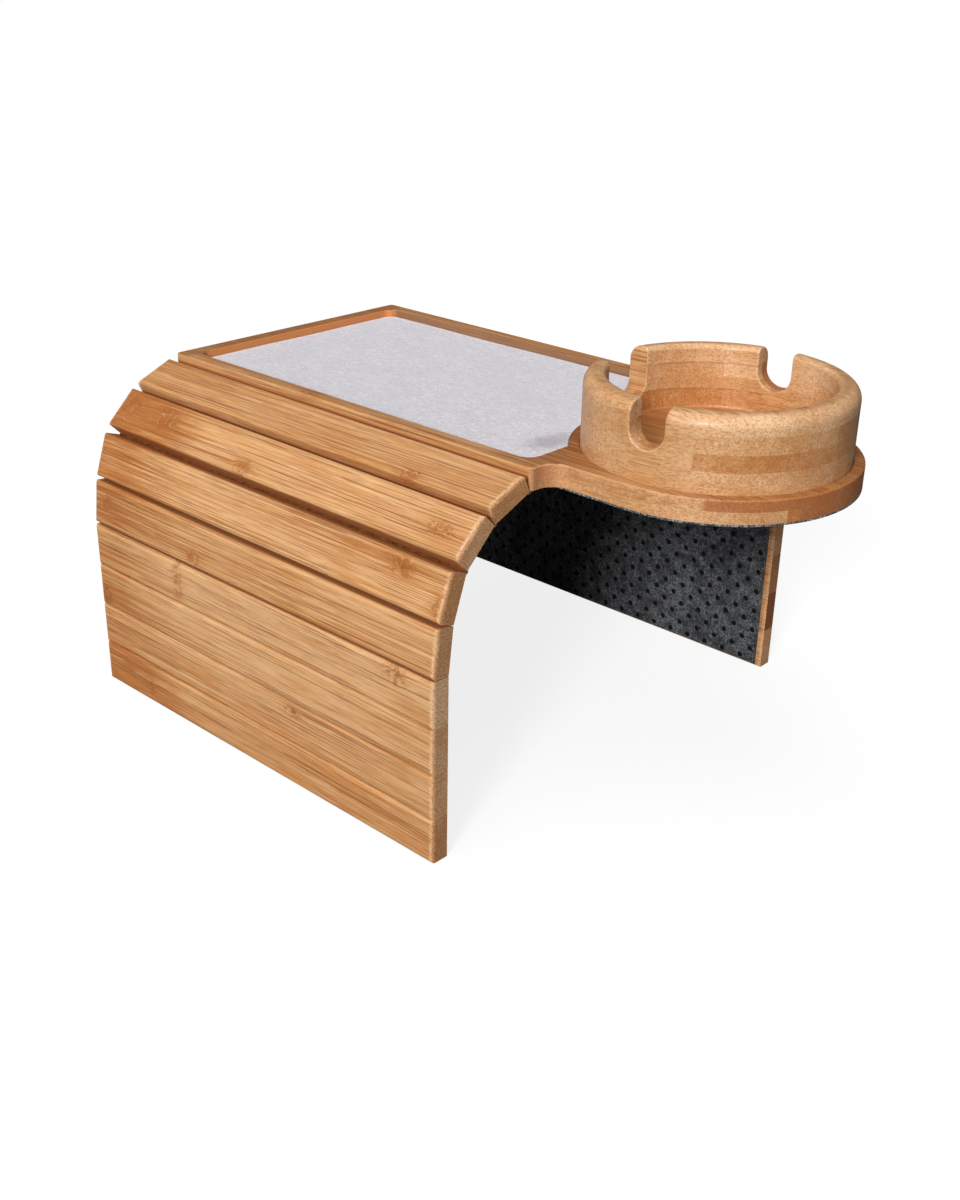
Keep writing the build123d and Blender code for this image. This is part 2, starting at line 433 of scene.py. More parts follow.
def bamboo_group():
    """Bamboo as a solid texture. Place is in metres with the fibres along its Y, Tone runs from
    pale to deep, Mark is 1 at a culm joint and End is 1 on faces that cut across the fibres."""
    tree = bpy.data.node_groups.new("bamboo", "ShaderNodeTree")
    face = tree.interface
    for name, kind in (("Place", "Vector"), ("Tone", "Float"), ("Mark", "Float"), ("End", "Float")):
        face.new_socket(name, in_out="INPUT", socket_type=f"NodeSocket{kind}")
    for name, kind in (("Color", "Color"), ("Roughness", "Float"), ("Height", "Float")):
        face.new_socket(name, in_out="OUTPUT", socket_type=f"NodeSocket{kind}")
    g = Graph(tree)
    given = g.add("NodeGroupInput").outputs
    place, tone, mark, end = given["Place"], given["Tone"], given["Mark"], given["End"]

    wander = g.varied(0.0, g.noise(place, (80.0, 9.0, 80.0), detail=1.0), GRAIN_WANDER)
    curl = g.varied(0.0, g.noise(place, (420.0, 300.0, 420.0), detail=1.0), GRAIN_CURL)
    shift = g.math("ADD", wander, g.times(curl, mark))
    bent = g.vector("ADD", place, g.combine(shift, 0.0, 0.0))
    grain = {
        name: g.noise(bent, (across, along, across), detail, roughness)
        for name, (across, along, detail, roughness) in GRAIN.items()
    }

    level = g.varied(g.varied(tone, grain["wide"], 0.8), grain["soft"], 0.55)
    shade = g.varied(level, grain["streak"], 2.4)
    line = g.smooth(grain["fine"], 0.53, 0.61)
    ring = g.smooth(g.math("ABSOLUTE", g.math("SUBTRACT", grain["whorl"], 0.5)), 0.03, 0.006)
    scar = g.times(mark, g.smooth(grain["whorl"], 0.46, 0.6))
    colour = g.layer(
        g.ramp(shade, [(0.0, WOOD_PALE), (0.5, WOOD_MID), (1.0, WOOD_DEEP)]),
        (
            (g.smooth(grain["patch"], 0.5, 0.7, top=0.45), WOOD_ORANGE),
            (g.smooth(grain["thread"], 0.56, 0.7, top=0.4), WOOD_FIBRE),
            (g.times(line, 0.66), WOOD_LINE),
            (g.smooth(grain["dash"], 0.54, 0.64, top=0.32), WOOD_LINE),
            (g.times(scar, 0.7), WOOD_SCAR),
            (g.times(mark, ring, 0.6), WOOD_LINE),
        ),
    )

    bundle = g.smooth(g.cells(place, (1000.0, 45.0, 1000.0)), 0.46, 0.2)
    pore = g.math("MAXIMUM", g.smooth(grain["pore"], 0.5, 0.64, top=0.8), bundle)
    sawn = g.ramp(
        g.varied(level, grain["coarse"], 1.5),
        [(0.0, WOOD_END), (0.45, WOOD_END_MID), (1.0, WOOD_END_DEEP)],
    )
    sawn = g.mix(g.times(pore, 0.4), sawn, WOOD_END_PORE)
    colour = g.mix(end, colour, sawn)

    rough = g.math("MULTIPLY_ADD", line, 0.12, 0.40)
    rough = g.math("MULTIPLY_ADD", end, 0.22, rough)
    height = g.times(line, -0.55)
    height = g.math("MULTIPLY_ADD", grain["thread"], -0.35, height)
    height = g.math("MULTIPLY_ADD", g.times(pore, end), -0.8, height)
    height = g.math("MULTIPLY_ADD", scar, -0.4, height)
    g.feed_all(g.add("NodeGroupOutput"), {"Color": colour, "Roughness": rough, "Height": height})
    return tree


def new_material(name, values):
    """A node material with a Principled shader, some of whose sockets have a value."""
    material = bpy.data.materials.new(name)
    material.use_nodes = True
    tree = material.node_tree
    tree.nodes.clear()
    g = Graph(tree)
    shader = g.add("ShaderNodeBsdfPrincipled")
    g.feed_all(shader, values)
    out = g.add("ShaderNodeOutputMaterial")
    g.feed(out.inputs["Surface"], shader.outputs[0])
    return material, g, shader


def add_bump(g, shader, height, strength, distance):
    bump = g.add("ShaderNodeBump")
    g.feed_all(bump, {"Strength": strength, "Distance": distance, "Height": height})
    g.feed(shader.inputs["Normal"], bump.outputs[0])


def object_place(g):
    return g.add("ShaderNodeTexCoord").outputs["Object"]


def facing(g, direction, low, high, both=True):
    """How far a surface looks in a direction, or where both count, in that or the opposite one."""
    normal = g.add("ShaderNodeTexCoord").outputs["Normal"]
    lean = g.vector("DOT_PRODUCT", normal, tuple(direction))
    if both:
        lean = g.math("ABSOLUTE", lean)
    return g.smooth(lean, low, high)


def marks_mask(g, place, marks, reach=1.45):
    """1 at each culm joint of a board. A mark is (across, along, half width, half length) in mm."""
    mask = 0.0
    ragged = g.varied(0.0, g.noise(place, (260.0, 170.0, 0.0)), 1.3)
    for across, along, half_width, half_length in marks:
        offset = g.vector("SUBTRACT", place, (across * MM, along * MM, 0.0))
        offset = g.vector("MULTIPLY", offset, (1 / (half_width * MM), 1 / (half_length * MM), 0.0))
        spot = g.smooth(g.math("ADD", g.vector("LENGTH", offset), ragged), reach, 0.3)
        mask = g.math("MAXIMUM", mask, spot)
    return mask


def across_fibres(along, low=0.35, high=0.75):
    """1 on faces that look along the fibres."""

    def mask_of(g, place):
        return facing(g, along, low, high)

    return mask_of


def panel_ends(g, place):
    """The panel's sawn faces: its ends and the whole side of its lobe and neck."""
    ends = across_fibres(BACK)(g, place)
    front = g.smooth(g.separate(place)[1], *LOBE_FROM)
    return g.math("MAXIMUM", ends, g.times(facing(g, UP, 0.75, 0.4), front))


def wood_material(
    name, group, place_of, tone_of, marks=(), ends=across_fibres(BACK), shift=0.0, stains_and_painted_light=(), lacquer=0.0
):
    """A board of bamboo. place_of(g) gives its own coordinates and tone_of(g, place) its tone. ends
    says where the fibres are cut across. shift takes the board to another part of the wood, so that
    no two look alike. stains_and_painted_light are pairs of a colour and a function that says where
    it goes: real stains, and shade and highlight painted into the colour."""
    values = {"Specular IOR Level": 0.35, "Coat Weight": lacquer, "Coat Roughness": 0.28}
    material, g, shader = new_material(name, values)
    place = place_of(g)
    round_marks = g.times(marks_mask(g, place, marks, reach=2.8), 0.25)
    wood = g.add("ShaderNodeGroup", node_tree=group)
    g.feed(wood.inputs["Place"], g.vector("ADD", place, (0.0, 0.0, shift)))
    g.feed(wood.inputs["Tone"], g.math("ADD", tone_of(g, place), round_marks))
    g.feed_all(wood, {"Mark": marks_mask(g, place, marks), "End": ends(g, place)})
    # Stains, and painted shade and highlight, laid over the wood
    painted_over = g.layer(wood.outputs["Color"], [(mask_of(g, place), stain_and_painted_light) for stain_and_painted_light, mask_of in stains_and_painted_light])
    g.feed_all(shader, {"Base Color": painted_over, "Roughness": wood.outputs["Roughness"]})
    add_bump(g, shader, wood.outputs["Height"], 0.35, 0.12 * MM)
    return material


def turned_place(origin, *axes):
    """A board's own coordinates along three axes: X across it, Y along its fibres and Z out of its top."""

    def place_of(g):
        offset = g.vector("SUBTRACT", object_place(g), tuple(origin))
        return g.combine(*(g.vector("DOT_PRODUCT", offset, tuple(axis)) for axis in axes))

    return place_of


def seam_side_shade(colour, across, depth, beyond=-1.0):
    """Painted shade on the sides that face a seam, darker toward the lining. depth says where that
    begins and where it is full, and only what lies more than beyond from the middle is shaded, both in mm."""
    top, bottom = depth

    def mask_of(g, place):
        x, _, z = g.separate(place)
        outer = g.math("GREATER_THAN", g.math("ABSOLUTE", x), beyond * MM)
        side = facing(g, across, 0.88, 0.98)
        return g.times(side, g.smooth(z, top * MM, bottom * MM), outer, SEAM_SHARE)

    return colour, mask_of


def end_wear_and_highlight(g, place):
    """Pale, rubbed fibres and a painted highlight where a slat's top turns into its end face."""
    along = g.math("ABSOLUTE", g.separate(place)[1])
    wear_and_painted_light_reach = g.smooth(along, SLAT_END - 2.6 * MM, SLAT_END - 0.7 * MM)
    broken = g.noise(place, (900.0, 260.0, 900.0))
    patchy = g.smooth(broken, 0.36, 0.6, 0.1, 0.6)
    return g.times(wear_and_painted_light_reach, facing(g, BACK, 0.85, 0.5), patchy)


def lip_shade(g, place):
    """Painted shade: a grey-brown line where the rim and the lobe's disc drop to the felt."""
    x, y, _ = g.separate(place)
    beyond_x = g.math("SUBTRACT", g.math("ABSOLUTE", x), WELL_HALF[0])
    beyond_y = g.math("SUBTRACT", g.math("ABSOLUTE", y), WELL_HALF[1])
    rim = g.math("MAXIMUM", beyond_x, beyond_y)
    from_lobe = g.vector("LENGTH", g.combine(x, g.math("SUBTRACT", y, LOBE_MIDDLE_Y), 0.0))
    inside = g.math("MAXIMUM", rim, g.math("SUBTRACT", LOBE_RADIUS, from_lobe))
    return g.times(g.smooth(inside, 0.75 * MM, 0.1 * MM), g.smooth(inside, -0.6 * MM, -0.2 * MM), 0.7)


def end_specks(g, place):
    """Dark pores and dirt in a slat's sawn ends, coarser than in the turned bowl."""
    grit = g.noise(place, 1000.0, detail=3.0, roughness=0.75)
    return g.times(facing(g, BACK, 0.5, 0.85), g.smooth(grit, 0.46, 0.6, top=0.42))


def lobe_red_and_shade(g, place):
    """Redder wood along the lobe's side, round its front and in blotches on the neck, and painted
    shade in the corner beside slat 1."""
    x, y, z = g.separate(place)
    side = g.times(g.smooth(y, *LOBE_FROM), facing(g, UP, 0.6, 0.3))
    specks = g.noise(place, 1200.0, roughness=0.6)
    round_front = g.times(g.smooth(x, *LOBE_RED_FROM), g.smooth(specks, 0.35, 0.6, 0.28, 0.6))
    blotch = g.noise(place, (95.0, 95.0, 130.0), detail=3.0, roughness=0.65)
    share = g.math("MAXIMUM", round_front, g.smooth(blotch, 0.5, 0.64, top=0.35))
    pale = g.times(g.smooth(x, *LOBE_PALE_FROM), g.math("LESS_THAN", z, LOBE_PALE_TOP))
    share = g.times(share, g.math("MULTIPLY_ADD", pale, -0.75, 1.0))
    # The corner beside slat 1 is painted shade
    return g.times(side, g.math("MAXIMUM", share, g.smooth(x, *LOBE_CORNER_SHADE, top=0.55)))


def neck_streaks(g, place):
    """Dark fibres in the top of the neck and the lobe."""
    along = g.separate(place)[1]
    front = g.times(g.smooth(along, *NECK_FROM), g.smooth(along, *NECK_FADE, bottom=0.45))
    fibres = g.noise(place, (760.0, 12.0, 760.0), detail=3.0, roughness=0.6)
    return g.times(facing(g, UP, 0.6, 0.9, both=False), front, g.smooth(fibres, 0.42, 0.56, 0.1, 0.8))


def back_rim(g, place):
    """The top of the panel's rim along its back end, darker than the rest."""
    behind = g.smooth(g.separate(place)[1], *BACK_RIM_FROM, top=0.55)
    return g.times(facing(g, UP, 0.5, 0.9, both=False), behind)


def back_wall(g, place):
    """The well's wall at its back end, a warm orange."""
    behind = g.smooth(g.separate(place)[1], *BACK_WALL_FROM, top=0.85)
    return g.times(facing(g, FRONT, 0.5, 0.9, both=False), behind)


def slat_tone(near, far):
    """A slat's tone, from its end by the ashtray to its other end."""

    def tone_of(g, place):
        return g.smooth(g.separate(place)[1], *SLAT_TONE_TURN, near, far)

    return tone_of


def end_tone(share):
    """A darker cut face at a slat's end by the ashtray."""

    def mask_of(g, place):
        return g.times(facing(g, FRONT, 0.5, 0.85, both=False), share)

    return WOOD_END_DARK, mask_of


def brick_tone(strip_start, layer_start, layer_height, tones):
    """Tones of a blank that is glued up from strips across X and layers up Z: tones[layer][strip]."""

    def tone_of(g, place):
        x, _, z = g.separate(place)
        strip = g.math("FLOOR", g.math("DIVIDE", g.math("SUBTRACT", x, strip_start), STRIP_WIDTH))
        layer = g.math("FLOOR", g.math("DIVIDE", g.math("SUBTRACT", z, layer_start), layer_height))
        for level, row in enumerate(tones):
            count = len(row)
            stops = [(index / count, (tone, tone, tone, 1.0)) for index, tone in enumerate(row)]
            share = g.math("DIVIDE", g.math("ADD", strip, 0.5), float(count), clamp=True)
            tone = g.separate(g.ramp(share, stops, "CONSTANT"))[0]
            if level == 0:
                result = tone
            else:
                result = g.between(g.math("GREATER_THAN", layer, level - 0.5), result, tone)
        return result

    return tone_of


def hinge_points(wing):
    """The wing's hinge points from the panel downward, and each slat's direction across it."""
    points = [Vector(j["pos_m"]) for j in frame["joints"] if j["name"].startswith(f"{wing}_seam_")]
    directions = [(b - a).normalized() for a, b in zip(points, points[1:])]
    directions.append(directions[-1])
    pitch = (points[1] - points[0]).length
    points.append(points[-1] + directions[-1] * pitch)
    return points, directions


def set_material(obj, *materials):
    """Clearing a list that holds materials also takes every face back to the first one."""
    if obj.data.materials:
        obj.data.materials.clear()
    for material in materials:
        obj.data.materials.append(material)


def outward_from(across, side):
    """The direction from the lining to the slats, where the lining runs in the direction across."""
    return Vector((-across.z * side, 0.0, across.x * side))


def slat_material(group, name, number, side, origin, across, tones, marks, end_dark):
    return wood_material(
        f"bamboo_{name}",
        group,
        turned_place(origin, across, BACK, outward_from(across, side)),
        slat_tone(*tones),
        marks,
        shift=number * SLAT_SHIFT * side,
        stains_and_painted_light=[
            seam_side_shade(WOOD_SIDE_SHADE, across, SEAM_BROWN.get(number, SEAM_BROWN_BELOW)),
            seam_side_shade(WOOD_SEAM_SHADE, across, SEAM_DARK.get(number, SEAM_DARK_BELOW)),
            end_tone(end_dark),
            (WOOD_SPECK, end_specks),
            (WOOD_WORN_HIGHLIGHT, end_wear_and_highlight),
        ],
    )


def dress_wood(group):
    """Gives each bamboo node its material."""
    nodes = frame["nodes"]
    wings = (("left", LEFT_MARKS, LEFT_TONES_AND_SHADE, -1), ("right", RIGHT_MARKS, RIGHT_TONES, 1))
    for wing, marks, tones, side in wings:
        points, directions = hinge_points(wing)
        for number, (origin, across) in enumerate(zip(points, directions), start=1):
            name = f"{wing}_slat_{number}"
            looks = tones[number], marks[number], ENDS_DARK[wing][number]
            material = slat_material(group, name, number, side, origin, across, *looks)
            set_material(nodes[name], material)
    # The panel's seam sides, the well's lip and the lobe's corner take painted shade
    stains_and_painted_light = [
        seam_side_shade(WOOD_SIDE_SHADE, RIGHT, SEAM_BROWN[0], beyond=PANEL_SIDE_FROM),
        seam_side_shade(WOOD_SEAM_SHADE, RIGHT, SEAM_DARK[0], beyond=PANEL_SIDE_FROM),
        (WOOD_RED_AND_SHADE, lobe_red_and_shade),
        (WOOD_LINE, neck_streaks),
        (WOOD_LIP_SHADE, lip_shade),
        (WOOD_RIM_BACK, back_rim),
        (WOOD_WALL, back_wall),
    ]
    tone = brick_tone(PANEL_STRIP_START, PANEL_LAYER_START, PANEL_LAYER_HEIGHT, PANEL_TONES)
    panel = wood_material("bamboo_panel", group, object_place, tone, PANEL_MARKS, panel_ends, stains_and_painted_light=stains_and_painted_light)
    set_material(nodes["tray_panel"], panel)
    set_material(nodes["ashtray"], ashtray_material(group))


def ashtray_material(group):
    """Bamboo whose strips and layers are turned with the ashtray."""
    low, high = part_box("ashtray")
    middle = (low + high) / 2
    strips = (math.cos(ASHTRAY_TURN), math.sin(ASHTRAY_TURN), 0.0)
    fibres = (-math.sin(ASHTRAY_TURN), math.cos(ASHTRAY_TURN), 0.0)
    front_tone = brick_tone(ASHTRAY_STRIP_START, *ASHTRAY_FRONT, ASHTRAY_FRONT_TONES)
    back_tone = brick_tone(ASHTRAY_STRIP_START, *ASHTRAY_BACK, ASHTRAY_BACK_TONES)

    def tone_of(g, place):
        x, y, z = g.separate(place)
        inside = g.math("LESS_THAN", g.vector("LENGTH", g.combine(x, y, 0.0)), ASHTRAY_INSIDE)
        behind = g.math("GREATER_THAN", y, ASHTRAY_BEHIND)
        tone = g.between(behind, front_tone(g, place), ASHTRAY_BACK_OUTSIDE)
        tone = g.between(g.times(behind, inside), tone, back_tone(g, place))
        floor = g.times(g.math("LESS_THAN", z, ASHTRAY_FLOOR_TOP), inside)
        tone = g.math("MULTIPLY_ADD", floor, ASHTRAY_FLOOR_DEEPER, tone)
        # Painted shade: the outside of the right end, below the rim, is deeper
        right = g.times(g.smooth(x, *ASHTRAY_SHADE_FROM), g.math("LESS_THAN", z, ASHTRAY_RIM_FOOT))
        right = g.times(right, g.math("SUBTRACT", 1.0, inside))
        return g.math("MULTIPLY_ADD", right, ASHTRAY_RIGHT_SHADE, tone)

    def glue_lines(g, place):
        x, y, z = g.separate(place)
        mask = 0.0
        for height in ASHTRAY_GLUE_LINES:
            away = g.math("ABSOLUTE", g.math("SUBTRACT", z, height))
            mask = g.math("MAXIMUM", mask, g.smooth(away, 0.55 * MM, 0.15 * MM))
        from_middle = g.vector("LENGTH", g.combine(x, y, 0.0))
        inside = g.smooth(from_middle, ASHTRAY_INSIDE, ASHTRAY_INSIDE - 2.0 * MM)
        broken = g.smooth(g.noise(place, (120.0, 120.0, 300.0)), 0.35, 0.55, top=0.42)
        return g.times(mask, g.smooth(y, 0.0, 8.0 * MM), inside, broken)

    return wood_material(
        "bamboo_ashtray",
        group,
        turned_place((middle.x, middle.y, 0.0), strips, fibres, UP),
        tone_of,
        ends=across_fibres(fibres, 0.1, 0.45),
        shift=ASHTRAY_SHIFT,
        stains_and_painted_light=[(WOOD_LINE, glue_lines)],
        lacquer=0.3,
    )


def felt_material():
    """White felt with a faint lavender cast, a fine tangle of fibres and one painted grey shadow."""
    values = {"Roughness": 0.95, "Sheen Weight": 0.35, "Sheen Roughness": 0.5}
    material, g, shader = new_material("white_felt", values)
    place = object_place(g)
    fibre = g.noise(place, (1150.0, 360.0, 1150.0), detail=4.0, roughness=0.75, distortion=1.6)
    cloud = g.noise(place, 70.0, detail=3.0)
    pill = g.noise(place, 520.0, detail=1.0)
    wisp = g.noise(place, (330.0, 120.0, 330.0), detail=4.0, roughness=0.65, distortion=0.8)
    # A painted shadow on the felt: a soft grey patch with a ragged edge
    wear_and_painted_light_reach = g.vector("SUBTRACT", place, (*FELT_SHADOW, 0.0))
    wear_and_painted_light_reach = g.vector("MULTIPLY", wear_and_painted_light_reach, (1 / FELT_SHADOW_HALF[0], 1 / FELT_SHADOW_HALF[1], 0.0))
    painted_shadow_reach = g.varied(g.vector("LENGTH", wear_and_painted_light_reach), wisp, 1.6)
    colour = g.layer(
        g.ramp(fibre, [(0.32, FELT_DEEP), (0.5, FELT_MID), (0.68, FELT_PALE)]),
        (
            (g.smooth(cloud, 0.45, 0.7, top=0.35), FELT_CLOUD),
            (g.smooth(pill, 0.66, 0.76, top=0.35), FELT_PILL),
            (g.smooth(wisp, 0.45, 0.68, top=0.5), FELT_WISP),
            (g.smooth(painted_shadow_reach, 1.15, 0.2, top=0.6), FELT_SHADOW_GREY),
        ),
    )
    g.feed(shader.inputs["Base Color"], colour)
    add_bump(g, shader, g.math("ADD", fibre, g.times(pill, 0.4)), 0.5, 0.18 * MM)
    return material


def lining_material():
    """Charcoal felt, heathered with lighter fibres and frayed along the lobe's cut edge."""
    values = {"Roughness": 0.95, "Sheen Weight": 0.1, "Sheen Roughness": 0.5, "Specular IOR Level": 0.1}
    material, g, shader = new_material("charcoal_felt", values)
    place = object_place(g)
    fibre = g.noise(place, 900.0, detail=4.0, roughness=0.7, distortion=1.2)
    cloud = g.noise(place, 160.0, detail=3.0)
    tangle = g.noise(place, 420.0, detail=4.0, roughness=0.7, distortion=2.0)
    strands = g.noise(place, (1300.0, 1300.0, 700.0))
    front = g.smooth(g.separate(place)[1], *LINING_FRAYED_FROM)
    cut_edge = g.times(facing(g, UP, 0.5, 0.2), front)
    colour = g.layer(
        g.ramp(fibre, [(0.36, LINING_DEEP), (0.5, LINING_MID), (0.64, LINING_PALE)]),
        (
            (g.smooth(cloud, 0.42, 0.6, top=0.75), LINING_CLOUD),
            (g.smooth(tangle, 0.5, 0.62, top=0.5), LINING_TANGLE),
            (g.smooth(tangle, 0.47, 0.36, top=0.6), LINING_DEEP),
            (g.times(cut_edge, g.smooth(strands, 0.48, 0.62, top=0.7)), LINING_FRAYED),
        ),
    )
    g.feed(shader.inputs["Base Color"], colour)
    add_bump(g, shader, fibre, 0.8, 0.3 * MM)
    return material


def seam_shade_felt_material():
    """Painted shade: the felt at the bottom of a seam, brown and dark as it is in the shade between the
    slats.
    """
    values = {"Roughness": 0.85, "Specular IOR Level": 0.1}
    material, g, shader = new_material("seam_shade_brown_felt", values)
    fibre = g.noise(object_place(g), (900.0, 300.0, 900.0), detail=3.0)
    g.feed(shader.inputs["Base Color"], g.ramp(fibre, [(0.3, SEAM_SHADE_DEEP), (0.7, SEAM_SHADE_PALE)]))
    add_bump(g, shader, fibre, 0.6, 0.2 * MM)
    return material


def dot_material():
    """The black rubbery dots."""
    material, g, shader = new_material("lining_dots", {"Specular IOR Level": 0.15})
    grit = g.noise(object_place(g), 1400.0)
    g.feed(shader.inputs["Base Color"], g.ramp(grit, [(0.3, DOT_DEEP), (0.7, DOT_PALE)]))
    g.feed(shader.inputs["Roughness"], g.smooth(grit, 0.3, 0.7, 0.6, 0.8))
    return material


def new_object(name, data):
    obj = bpy.data.objects.new(name, data)
    bpy.context.scene.collection.objects.link(obj)
    return obj


def mesh_from(name, bm):
    """A new object from the mesh, smooth but for its sharp edges."""
    mesh = bpy.data.meshes.new(name)
    bmesh.ops.recalc_face_normals(bm, faces=bm.faces)
    bm.to_mesh(mesh)
    bm.free()
    mesh.polygons.foreach_set("use_smooth", [True] * len(mesh.polygons))
    mesh.set_sharp_from_angle(angle=SHARP_ANGLE)
    return new_object(name, mesh)


def clean_copy(node):
    """A welded copy of a CAD node with its flat faces whole."""
    bm = bmesh.new()
    bm.from_mesh(frame["nodes"][node].data)
    bmesh.ops.remove_doubles(bm, verts=bm.verts, dist=TOLERANCE)
    bmesh.ops.dissolve_limit(bm, angle_limit=FLAT_ANGLE, verts=bm.verts, edges=bm.edges)
    return bm


def cut(bm, point, normal):
    """Cuts the mesh along a plane and keeps both sides."""
    geometry = [*bm.verts, *bm.edges, *bm.faces]
    bmesh.ops.bisect_plane(bm, geom=geometry, plane_co=point, plane_no=normal, dist=TOLERANCE)


def cut_grid(bm, step):
    """Cuts the mesh along a square grid, so that it can take gentle waves."""
    places = [v.co.copy() for v in bm.verts]
    for axis in (0, 1):
        low = min(p[axis] for p in places)
        high = max(p[axis] for p in places)
        normal = Vector((1 - axis, axis, 0))
        for index in range(1, math.ceil((high - low) / step)):
            cut(bm, normal * (low + index * step), normal)


def frame_area(node):
    """The plan area of a flat CAD sheet: half of what looks up or down."""
    mesh = frame["nodes"][node].data
    return sum(p.area for p in mesh.polygons if abs(p.normal.z) > 0.9) / 2


def felt_insert(material):
    """The felt sheet in the well: softened edges, and a surface that isn't quite flat."""
    low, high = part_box("tray_felt")
    bm = clean_copy("tray_felt")
    top = high.z - TOLERANCE
    rim = [e for e in bm.edges if all(v.co.z > top for v in e.verts) and len(e.link_faces) == 2]
    rim = [e for e in rim if any(abs(f.normal.z) < 0.5 for f in e.link_faces)]
    bmesh.ops.bevel(bm, geom=rim, offset=FELT_EDGE_RADIUS, segments=3, profile=0.5, affect="EDGES")
    cut_grid(bm, FELT_GRID)
    for v in bm.verts:
        height = (v.co.z - low.z) / (high.z - low.z)
        x, y = v.co.x / MM, v.co.y / MM
        wave = math.sin(x / 19 + 0.7) * math.sin(y / 27) + 0.6 * math.sin(x / 9 - y / 13)
        v.co.z += height * FELT_WAVE * (wave - FELT_WAVE_DROP)
    bmesh.ops.triangulate(bm, faces=[f for f in bm.faces if len(f.verts) > 4])
    obj = mesh_from("felt_insert", bm)
    set_material(obj, material)
    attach(obj, "tray")
    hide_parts("tray_felt")
    cad_area = frame_area("tray_felt")


def dot_places(first, last, inside):
    """Dots of the lining's diagonal grid between two distances from its middle, as (across, along)."""
    start_across, start_along = LINING_FIRST_DOT
    places = []
    row = math.ceil((first - start_across) / LINING_ROW_STEP)
    while start_across + row * LINING_ROW_STEP < last:
        across = start_across + row * LINING_ROW_STEP
        offset = LINING_DOT_STEP / 2 if row % 2 else 0.0
        for column in range(-LINING_COLUMNS, LINING_COLUMNS + 1):
            along = start_along + offset + column * LINING_DOT_STEP
            if inside(across, along):
                places.append((across, along))
        row += 1
    return places


def add_dome(bm, centre, right, forward, up):
    """One raised dot: a low dome with a closed base."""
    loops = []
    for spread, rise in DOT_RINGS:
        loop = []
        for index in range(DOT_SIDES):
            angle = 2 * math.pi * index / DOT_SIDES
            flat = right * math.cos(angle) + forward * math.sin(angle)
            place = centre + flat * LINING_DOT_RADIUS * spread + up * LINING_DOT_HEIGHT * rise
            loop.append(bm.verts.new(place))
        loops.append(loop)
    for lower, upper in zip(loops, loops[1:]):
        for index in range(DOT_SIDES):
            after = (index + 1) % DOT_SIDES
            bm.faces.new((lower[index], lower[after], upper[after], upper[index]))
    tip = bm.verts.new(centre + up * LINING_DOT_HEIGHT)
    for index in range(DOT_SIDES):
        bm.faces.new((loops[-1][index], loops[-1][(index + 1) % DOT_SIDES], tip))
    bm.faces.new(loops[0][::-1])


def panel_edge():
    """How far the panel's edge, where a wing's first hinge lies, is from the middle."""
    return next(Vector(j["pos_m"]).x for j in frame["joints"] if j["name"] == "right_seam_1")


def wing_seams(wing, side):
    """The wing's seams from the panel downward."""
    points, directions = hinge_points(wing)
    pitch = (points[1] - points[0]).length
    end_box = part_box(f"{wing}_lining_8")
    reaches = [pitch - LINING_SPLIT] * (len(directions) - 1)
    reaches.append((end_box[0].z - points[-2].z) / directions[-1].z)
    before = Vector((side, 0, 0))
    seams = []
    for number, (hinge, after, reach) in enumerate(zip(points, directions, reaches), start=1):
        out_before, out_after = outward_from(before, side), outward_from(after, side)
        across = panel_edge() + (number - 1) * pitch
        seams.append(Seam(wing, number, across, hinge, before, after, out_before, out_after, reach))
        before = after
    return seams


def seam_profile(seam, thickness):
    """The lining's section over one seam: its free side and its glued side, as lists of points."""
    hinge, bend = seam.hinge, LINING_BEND_REACH
    near = [bend / 5, bend / 2, bend, bend * 2]
    before = [(hinge - seam.before * step, seam.out_before) for step in (LINING_SPLIT, *near[::-1])]
    after = [(hinge + seam.after * step, seam.out_after) for step in (*near, seam.reach)]
    middle_out = (seam.out_before + seam.out_after).normalized()
    stretch = 1 / max(0.2, middle_out.dot(seam.out_before))
    points = [*before, (hinge, middle_out), *after]
    free = [base + out * LINING_DOT_HEIGHT for base, out in points]
    free[len(before)] = hinge + middle_out * LINING_DOT_HEIGHT * stretch
    return free, [base + out * thickness for base, out in points]


def seam_sheet(name, free, glued, low_y, tongue):
    """A thin closed sheet with that section, drawn along Y. What shows between the slats is its
    second material, brown felt that is painted shade. At both ends of the seam a tongue reaches on between
    the slats."""
    bm = bmesh.new()
    grid = []
    half = len(free) // 2
    glued_middle = len(free) + len(glued) // 2
    # The faces at the bottom of the seam take the second material, painted shade
    painted_over = range(glued_middle - 2, glued_middle + 2)
    for index in range(LINING_STEPS + 1):
        y = low_y - 2 * low_y * index / LINING_STEPS
        further = {0: -tongue, LINING_STEPS: tongue}.get(index, 0.0)
        section = []
        for side in (free, list(reversed(glued))):
            for step, point in enumerate(side):
                reach = further if abs(step - half) <= 1 else 0.0
                section.append(Vector((point.x, y + reach, point.z)))
        grid.append([bm.verts.new(p) for p in section])
    count = len(grid[0])
    for here, there in zip(grid, grid[1:]):
        for index in range(count):
            after = (index + 1) % count
            face = bm.faces.new((here[index], here[after], there[after], there[index]))
            if index in painted_over:
                face.material_index = 1
    for section in (grid[0], grid[-1]):
        for index in range(len(free) - 1):
            opposite = count - 1 - index
            bm.faces.new((section[index], section[index + 1], section[opposite - 1], section[opposite]))
    return mesh_from(name, bm)


